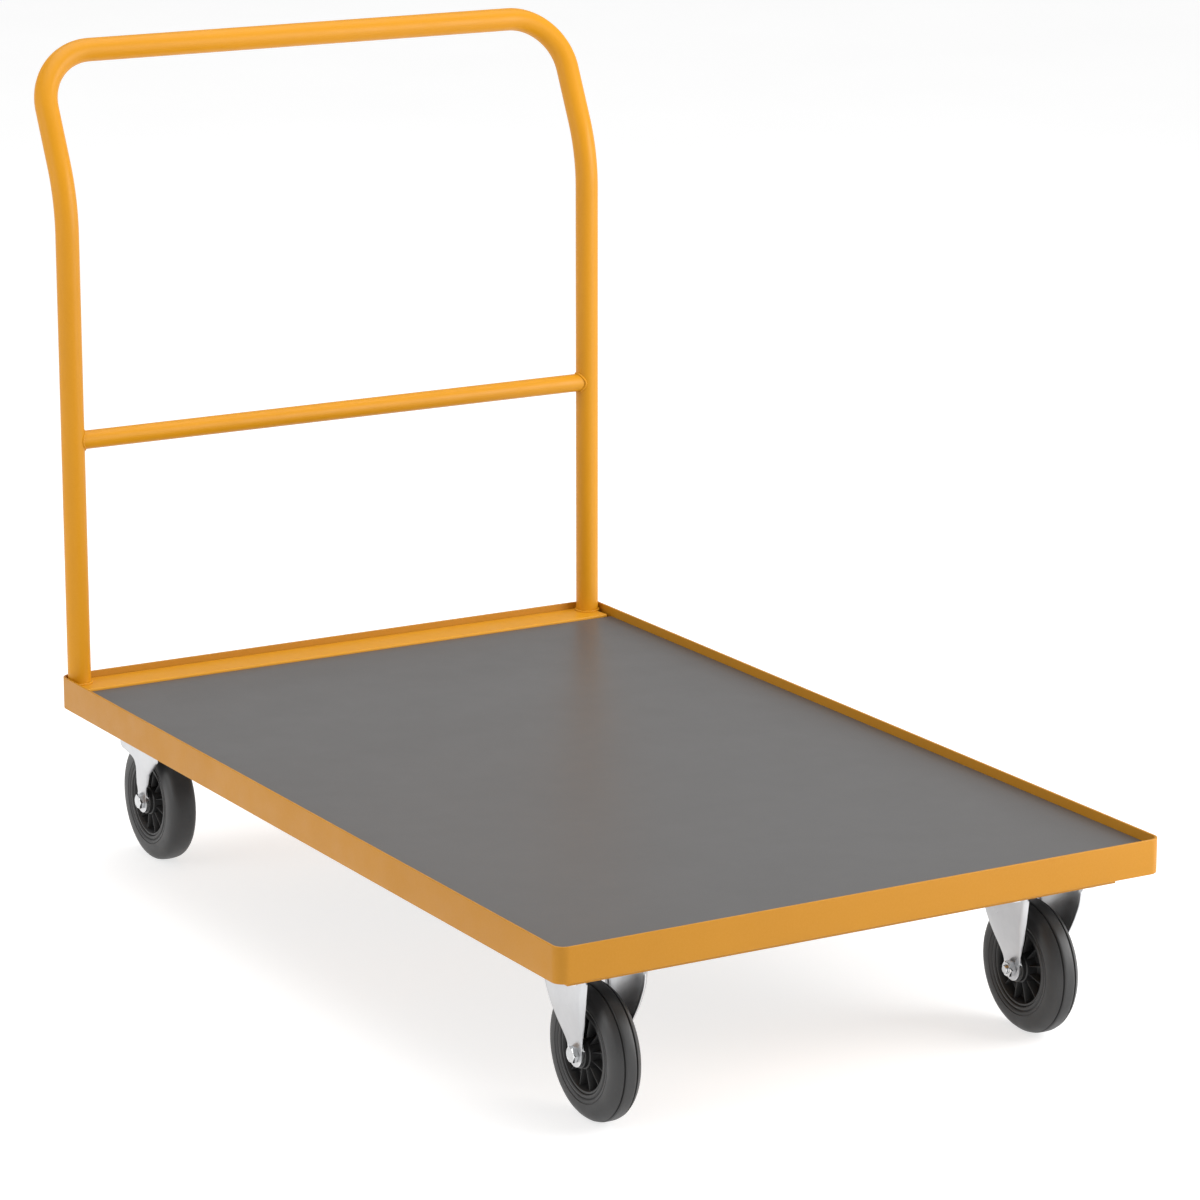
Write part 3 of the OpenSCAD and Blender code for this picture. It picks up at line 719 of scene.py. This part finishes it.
def fork_sheet(name, centre, top_z, wide_at, back_at, front_at, lip_at, limit=None):
    """A fork pressed from one sheet: rows run from one foot over the crown to the other.

    wide_at gives the half width over the outside by height, back_at and front_at the sheet's two
    edges along the deck by height, and lip_at how far its edges are turned in.
    """
    foot_r = 15.0
    sheet = 3.0
    round_r = 7.0
    x_flat = wide_at(top_z - round_r) - round_r
    half = []
    for k in range(12):
        a = math.radians(86 - 86 * k / 11)
        half.append((wide_at(AXLE_Z), AXLE_Z - foot_r * math.sin(a), 1.0, 0.0, foot_r * math.cos(a)))
    z = AXLE_Z
    while z < top_z - round_r - 2.5:
        z += 2.5
        slope = (wide_at(z + 0.5) - wide_at(z - 0.5))
        nrm = Vector((1.0, -slope)).normalized()
        half.append((wide_at(z), z, nrm.x, nrm.y, None))
    for k in range(7):
        a = math.radians(15 * k)
        half.append((x_flat + round_r * math.cos(a), top_z - round_r + round_r * math.sin(a),
                     math.cos(a), math.sin(a), None))
    for k in range(1, 7):
        half.append((x_flat * (1 - k / 7), top_z, 0.0, 1.0, None))
    rows = [(-x, z, -nx, nz, w) for x, z, nx, nz, w in half]
    rows += [(0.0, top_z, 0.0, 1.0, None)]
    rows += half[::-1]

    verts = []
    bend_steps = 5
    bend = math.radians(75)
    foot_y = (back_at(AXLE_Z) + front_at(AXLE_Z)) / 2
    for x, z, nx, nz, foot in rows:
        if foot is not None:
            y0, y1 = foot_y - foot, foot_y + foot
        else:
            y0, y1 = front_at(z), back_at(z)
        if limit:
            y0, y1 = limit(x, z, y0, y1)
        lip = lip_at(z)
        reach = min(lip * 1.15, (y1 - y0) * 0.42)
        turned = []
        for k in range(1, bend_steps + 1):
            a = bend * k / bend_steps
            turned.append((reach * (1 - math.sin(a) / math.sin(bend)),
                           lip * (1 - math.cos(a)) / (1 - math.cos(bend))))
        flat0, flat1 = y0 + reach, y1 - reach
        line = [(y0 + y, depth) for y, depth in turned[::-1]]
        line += [(flat0 + (flat1 - flat0) * k / 6, 0.0) for k in range(7)]
        line += [(y1 - y, depth) for y, depth in turned]
        columns = len(line)
        for y, depth in line:
            verts.append((centre.x + x - nx * depth, centre.y + y, z - nz * depth))
    faces = []
    for i in range(len(rows) - 1):
        for k in range(columns - 1):
            a, b = i * columns + k, (i + 1) * columns + k
            faces.append((a, a + 1, b + 1, b))
    mesh = bpy.data.meshes.new(name)
    mesh.from_pydata([tuple(Vector(v) * MM) for v in verts], [], faces)
    bm = bmesh.new()
    bm.from_mesh(mesh)
    bmesh.ops.remove_doubles(bm, verts=bm.verts, dist=1e-6)
    bmesh.ops.recalc_face_normals(bm, faces=bm.faces)
    top = max(bm.faces, key=lambda f: f.calc_center_median().z)
    if top.normal.z < 0:
        bmesh.ops.reverse_faces(bm, faces=bm.faces)
    bm.to_mesh(mesh)
    bm.free()
    mesh.polygons.foreach_set("use_smooth", [True] * len(mesh.polygons))
    mesh.materials.append(ZINC)
    obj = bpy.data.objects.new(name, mesh)
    bpy.context.scene.collection.objects.link(obj)
    m = obj.modifiers.new("sheet", "SOLIDIFY")
    m.thickness = sheet * MM
    m.offset = -1.0
    m.use_even_offset = True
    m.thickness_clamp = 0.0
    bevel(obj, 0.55, 2, 60)
    return obj


def fixed_fork(name, axle_centre):
    """Symmetrical bracket; each list gives a half measure by height."""
    wide = [(80, 26.0), (86, 26.2), (92, 27.2), (98, 28.9), (104, 30.8), (117, 34.6),
            (143, 40.6), (165, 42.8), (190, 43.0)]
    length = [(80, 15.0), (86, 15.5), (92, 17.0), (98, 19.4), (104, 22.3), (119, 29.8), (135, 36.2),
              (150, 41.2), (163, 44.4), (176, 46.0), (190, 46.5)]
    lips = [(86, 0.0), (96, 1.2), (106, 3.0), (122, 4.6), (145, 6.0), (175, 6.4), (PLATE_LOW, 1.0)]
    return fork_sheet(
        name, axle_centre, PLATE_LOW,
        lambda z: curve_table(wide, z),
        lambda z: curve_table(length, z),
        lambda z: -curve_table(length, z),
        lambda z: table(lips, z))


def swivel_fork(name, axle_centre, swivel_y):
    """Trailing fork under a round crown; each list gives a measure from the axle by height."""
    crown_r = 46.0
    wide = [(80, 26.0), (88, 26.4), (96, 28.4), (106, 31.8), (124, 35.2), (150, 38.0), (175, 38.0)]
    back = [(80, 13.5), (86, 12.0), (92, 9.2), (101, 5.6), (110, 2.0), (121, -1.6), (130, -3.2), (137, -1.6),
            (141, 2.0), (143.5, 10.0), (148, 39.0), (149, 40.0), (175, 40.0)]
    front = [(80, -14.0), (88, -13.8), (94, -15.6), (101, -22.0), (108, -29.0), (124, -39.0), (142, -60.5),
             (155, -76.0), (160, -90.0), (175, -95.0)]
    lips = [(86, 0.0), (97, 1.0), (110, 2.6), (140, 4.0), (160, 4.2), (CROWN, 1.0)]
    centre_y = swivel_y - axle_centre.y

    def limit(x, z, y0, y1):
        reach = math.sqrt(crown_r ** 2 - min(abs(x), crown_r - 0.1) ** 2)
        return max(y0, centre_y - reach), min(y1, 40.0)

    return fork_sheet(
        name, axle_centre, CROWN,
        lambda z: curve_table(wide, z),
        lambda z: table(back, z),
        lambda z: table(front, z),
        lambda z: table(lips, z),
        limit)


def tyre_outline(grooved):
    """Half of the tyre's section from the bead to the tread, then mirrored; (radius, height)."""
    half = [
        (47.0, 15.6), (47.3, 17.0), (48.4, 17.9), (50.2, 18.0), (51.2, 17.4), (51.7, 16.5),
        (52.2, 16.4), (52.8, 17.3), (54.0, 18.1), (56.2, 18.6), (56.7, 18.0), (57.5, 18.0), (58.0, 18.8),
        (60.5, 19.0), (64.0, 18.9)]
    if grooved:
        half += [(67.5, 18.3), (70.5, 17.2), (73.2, 15.6), (75.6, 13.4), (77.4, 11.0),
                 (78.3, 9.8), (78.6, 9.2), (78.3, 8.7), (76.9, 8.4), (76.9, 7.3), (78.7, 7.0),
                 (79.5, 6.4), (79.8, 5.0), (79.95, 2.5)]
    else:
        half += [(68.5, 18.5), (72.0, 17.6), (75.0, 16.0), (77.3, 13.6), (78.6, 11.2), (79.3, 8.6),
                 (79.7, 5.6), (79.93, 2.8)]
    return half + [(80.0, 0.0)] + [(r, -h) for r, h in half[::-1]]


def wheel_centre_piece(name, centre):
    """Moulded centre: rim band, web, hub and ribs on both faces."""
    axis = to_axis(centre, (1, 0, 0))
    outline = [
        (12.5, 22.4), (16.0, 22.4), (17.0, 21.6), (17.2, 17.5), (18.6, 16.4), (19.2, 8.0), (20.5, 4.6),
        (24.0, 3.2), (38.0, 3.2), (41.0, 4.6), (42.4, 8.0), (43.4, 15.4), (44.2, 16.2), (46.2, 16.2),
        (46.9, 15.6)]
    whole = outline + [(r, -h) for r, h in outline[::-1]]
    parts = [lathe("disc", whole, PLASTIC, axis, 120, 40)]
    ribs = 12
    lo_h, t0, t1 = 2.0, 0.95, 0.6
    for face in (-1, 1):
        for k in range(ribs):
            a = 2 * math.pi * (k + 0.5) / ribs
            radial = Vector((math.cos(a), math.sin(a), 0))
            cross = Vector((-math.sin(a), math.cos(a), 0))
            rings = []
            for r, top in ((17.6, 14.2), (43.2, 13.4)):
                rings.append([
                    radial * r + cross * t0 + Vector((0, 0, lo_h * face)),
                    radial * r + cross * t1 + Vector((0, 0, (top - 0.5) * face)),
                    radial * r + cross * (t1 - 0.35) + Vector((0, 0, top * face)),
                    radial * r - cross * (t1 - 0.35) + Vector((0, 0, top * face)),
                    radial * r - cross * t1 + Vector((0, 0, (top - 0.5) * face)),
                    radial * r - cross * t0 + Vector((0, 0, lo_h * face))])
            verts, faces = loft(rings)
            parts.append(new_object("rib", verts, faces, PLASTIC, 40, axis))
    return join(name, parts)


def axle_pieces(prefix, body, side):
    """Hexagon bolt with a washer face, nut, and the bolt's threaded end."""
    c = mid(prefix + "axle_nut")
    fork_x = mid(prefix + "fork").x
    out = Vector((side, 0, 0))
    across = 17.0
    face = Vector((fork_x + side * FOOT_X, c.y, c.z))
    head = hex_piece("head", across, 6.2, BOLT, to_axis(face + out * 0.2, out))
    flange = lathe("flange", [(0.0, 0.0), (8.0, 0.0), (8.1, 0.3), (0.0, 0.4)], BOLT, to_axis(face, out), 64)
    shank_from = face - out * 0.5
    length = 2 * FOOT_X + 8.0 + 2.8
    plain = length - 14.0
    shank = lathe("shank", [(0.0, 0.0), (AXLE_R, 0.0), (AXLE_R, plain), (0.0, plain)], BOLT,
                  to_axis(shank_from, -out), 48)
    tip_at = to_axis(shank_from - out * (length - 13.2), -out)
    tip = lathe("tip", thread(13.0, AXLE_R - 0.05), BOLT, tip_at, 48, 30)
    piece(join(prefix + "bolt", [head, flange, shank, tip]), body, prefix + "axle_bolt")
    nut_face = Vector((fork_x - side * FOOT_X, c.y, c.z))
    nut = hex_piece("nut", across, 7.9, BOLT, to_axis(nut_face, -out), bore=4.99, both=True)
    nut.name = prefix + "nut"
    piece(nut, body, prefix + "axle_nut")


def make_caster(end, side_name, side):
    prefix = f"{end}_{side_name}_"
    wheel = prefix + "wheel"
    centre = mid(prefix + "tyre")
    holder = "chassis" if end == "front" else f"rear_{side_name}_swivel"

    tyre = lathe(prefix + "tyre_rubber", tyre_outline(end == "front"), RUBBER,
                 to_axis(centre, (1, 0, 0)), 160, 50)
    piece(tyre, wheel, prefix + "tyre")
    piece(wheel_centre_piece(prefix + "centre", centre), wheel, prefix + "wheel_centre")
    axle_pieces(prefix, holder, side)

    if end == "front":
        fork = fixed_fork(prefix + "bracket", centre)
        piece(fork, holder, prefix + "fork")
        piece(plate_mesh(prefix + "plate", centre), "chassis")
        seams = []
        for sx in (-1, 1):
            path = [Vector((centre.x + sx * 41.5, centre.y - 40 + 80 * k / 60, PLATE_LOW - 0.4))
                    for k in range(61)]
            seams.append(weld("bead", path, ZINC, 1.3, closed=False))
        piece(join(prefix + "plate_welds", seams), "chassis")
        return
    kingpin = mid(prefix + "kingpin")
    upright = to_axis(Vector((kingpin.x, kingpin.y, 0)), (0, 0, 1))
    fork = swivel_fork(prefix + "bracket", centre, kingpin.y)
    piece(fork, holder, prefix + "fork")
    cup = lathe(prefix + "lower_race", [
        (24.0, CROWN - 0.2), (36.0, CROWN - 0.2), (38.0, CROWN + 0.8), (38.2, CROWN + 2.2),
        (37.2, CROWN + 3.2), (34.0, CROWN + 3.6), (28.4, CROWN + 3.6), (24.0, CROWN + 3.6)], ZINC,
        upright, 96, 40)
    piece(cup, holder)
    piece(plate_mesh(prefix + "plate", kingpin, bore=7.2), "chassis", prefix + "top_plate")
    dish = lathe(prefix + "upper_race", [
        (7.4, PLATE_LOW + 0.2), (7.4, CROWN + 9.8), (22.0, CROWN + 9.8), (24.5, CROWN + 8.6),
        (28.5, CROWN + 8.5), (34.2, CROWN + 8.5), (37.6, CROWN + 8.8), (38.0, CROWN + 10.0),
        (38.3, CROWN + 11.2), (39.0, PLATE_LOW + 0.2)], ZINC,
        upright, 96, 40)
    piece(dish, "chassis")
    rivet = lathe(prefix + "rivet", [
        (0.0, CROWN - 10.6), (6.0, CROWN - 10.5), (9.0, CROWN - 9.8), (11.2, CROWN - 8.2),
        (12.0, CROWN - 6.4), (12.0, CROWN - 3.6), (11.6, CROWN - 3.4), (7.0, CROWN - 3.4),
        (7.0, PLATE_TOP - 0.4), (6.6, PLATE_TOP), (0.0, PLATE_TOP)], BOLT,
        upright, 64, 40)
    piece(rivet, "chassis", prefix + "kingpin")


for end in ("front", "rear"):
    for side_name, side in (("left", -1), ("right", 1)):
        make_caster(end, side_name, side)


def make_plate_bolts():
    """The bolts that hold the caster plates, each head turned by chance."""
    heads = []
    for end in ("front", "rear"):
        for side_name in ("left", "right"):
            prefix = f"{end}_{side_name}_"
            c = mid(prefix + ("kingpin" if end == "rear" else "tyre"))
            for sx in (-1, 1):
                for sy in (-1, 1):
                    spot = Vector((c.x + sx * BOLT_X, c.y + sy * BOLT_Y, PLATE_LOW))
                    turn = Matrix.Rotation(rng.uniform(0, 1.0), 4, "Z")
                    heads.append(hex_piece("head", 13.0, 5.2, BOLT,
                                           to_axis(spot, (0, 0, -1)) @ turn, per_side=8))
                    shaft = [(0.0, 0.0), (4.0, 0.0), (4.0, 8.0)] + [
                        (r, h + 8.0) for r, h in thread(7.5, 3.98, 1.25, 0.45)[2:]]
                    heads.append(lathe("shaft", shaft, BOLT, to_axis(spot, (0, 0, 1)), 32, 30))
    piece(join("plate_bolts", heads), "chassis", "caster_bolts")


make_plate_bolts()

# every CAD node that still shows gets its procedural material
slots = {s["node"]: s["material_slot"] for s in frame["record"]["subparts"]}
for name, obj in frame["nodes"].items():
    material = MATERIAL_OF[slots[name]]
    if not obj.material_slots:
        obj.data.materials.append(material)
    for s in obj.material_slots:
        s.material = material


# ------------------------------------------------------------------ studio

def stage_material(name, glow):
    """Matt pale surface with a little light of its own, so that shadows on it stay faint."""
    n = Nodes(name)
    n.colour(n.mix(n.ramp(n.noise(1.3, 3.0), 0.0, 1.0), (0.49, 0.49, 0.49), (0.51, 0.51, 0.51)))
    n.fixed(Roughness=0.9, IOR=1.2)
    n.shader.inputs["Emission Color"].default_value = (1, 1, 1, 1)
    n.shader.inputs["Emission Strength"].default_value = glow
    return n.mat


def make_floor():
    """A pale floor, and far behind it a low pale wall all round that hides the horizon."""
    size = 40000.0
    square = [(-size, -size, 0), (size, -size, 0), (size, size, 0), (-size, size, 0)]
    floor = new_object("floor", square, [(0, 1, 2, 3)], stage_material("studio_floor", 0.68))
    radius, height, steps = 30000.0, 5000.0, 96
    verts = [(x, y, z) for z in (0.0, height) for x, y in circle(radius, steps)]
    faces = [(k, k + steps, (k + 1) % steps + steps, (k + 1) % steps) for k in range(steps)]
    wall = new_object("backdrop", verts, faces, stage_material("studio_wall", 0.74))


def area_light(name, place, target, size_x, size_y, power):
    light = bpy.data.lights.new(name, "AREA")
    light.shape = "RECTANGLE"
    light.size, light.size_y = size_x, size_y
    light.energy = power
    obj = bpy.data.objects.new(name, light)
    obj.location = place
    obj.rotation_euler = (Vector(target) - Vector(place)).to_track_quat("-Z", "Y").to_euler()
    obj.visible_camera = False
    bpy.context.scene.collection.objects.link(obj)


def make_studio():
    world = bpy.data.worlds.new("studio")
    bpy.context.scene.world = world
    world.use_nodes = True
    background = world.node_tree.nodes["Background"]
    background.inputs["Color"].default_value = (1, 1, 1, 1)
    background.inputs["Strength"].default_value = 0.50
    area_light("overhead", (0.2, 0.3, 4.5), (0, 0, 0.2), 4.5, 4.5, 145)
    area_light("right_far", (4.2, -2.6, 2.6), (0, 0, 0.4), 2.6, 2.6, 35)
    area_light("right_key", (1.95, -1.85, 1.3), (0.1, 0, 0.45), 1.9, 1.9, 62)
    area_light("left_fill", (-4.5, 0.5, 1.8), (0, 0, 0.4), 3.6, 2.6, 54)
    bpy.context.scene.view_settings.view_transform = "Standard"
    bpy.context.scene.view_settings.look = "None"


def make_camera():
    camera = bpy.data.cameras.new("camera")
    camera.sensor_width = 36.0
    camera.lens = 141.08
    camera.clip_end = 100.0
    obj = bpy.data.objects.new("camera", camera)
    yaw, pitch = math.radians(30.291), math.radians(14.163)
    obj.location = Vector((-2764.4, -4786.4 + deck_y, 1830.7)) * MM
    obj.rotation_euler = (math.pi / 2 - pitch, 0, -yaw)
    bpy.context.scene.collection.objects.link(obj)
    bpy.context.scene.camera = obj


make_floor()
make_studio()
make_camera()
